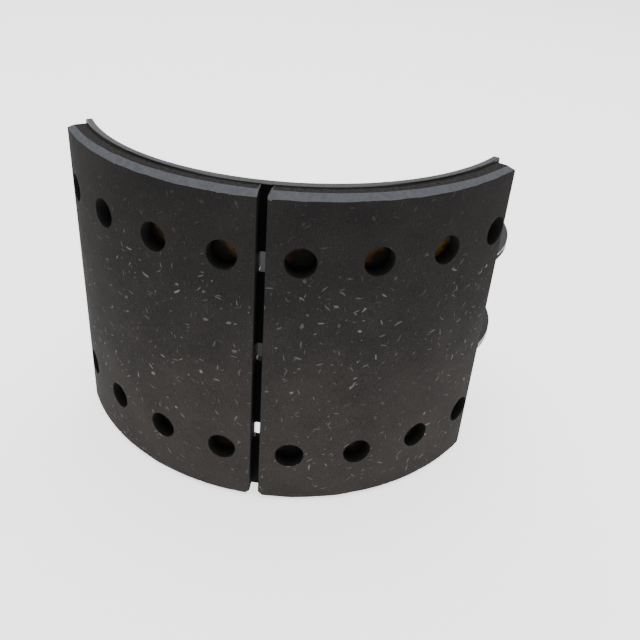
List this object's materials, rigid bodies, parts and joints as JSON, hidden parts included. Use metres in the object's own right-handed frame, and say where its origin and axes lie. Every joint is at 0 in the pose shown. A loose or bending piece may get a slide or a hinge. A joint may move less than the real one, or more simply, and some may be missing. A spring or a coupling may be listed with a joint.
{
  "type": "brake shoe",
  "caption": "Lined drum brake shoe: a curved steel table on crescent webs carries riveted friction blocks that an S-cam spreads against the drum.",
  "frame": {"origin": "centre of the anchor pin bore, half way between the two webs", "axes": "+Z along the anchor pin and the drum axis, -Y from the drum axis toward the crown of the linings, +X toward the anchor end"},
  "size_m": [0.2667, 0.148, 0.2016],
  "materials": {
    "black_paint": "gloss",
    "friction_material": "matte",
    "rivet_brass": "satin"
  },
  "bodies": {
    "root": {"shoe_table": "black_paint", "upper_web": "black_paint", "lower_web": "black_paint", "upper_weld_bead": "black_paint", "lower_weld_bead": "black_paint", "cam_side_lining": "friction_material", "anchor_side_lining": "friction_material", "rivet_01": "rivet_brass", "rivet_02": "rivet_brass", "rivet_03": "rivet_brass", "rivet_04": "rivet_brass", "rivet_05": "rivet_brass", "rivet_06": "rivet_brass", "rivet_07": "rivet_brass", "rivet_08": "rivet_brass", "rivet_09": "rivet_brass", "rivet_10": "rivet_brass", "rivet_11": "rivet_brass", "rivet_12": "rivet_brass", "rivet_13": "rivet_brass", "rivet_14": "rivet_brass", "rivet_15": "rivet_brass", "rivet_16": "rivet_brass"}
  },
  "joints": []
}
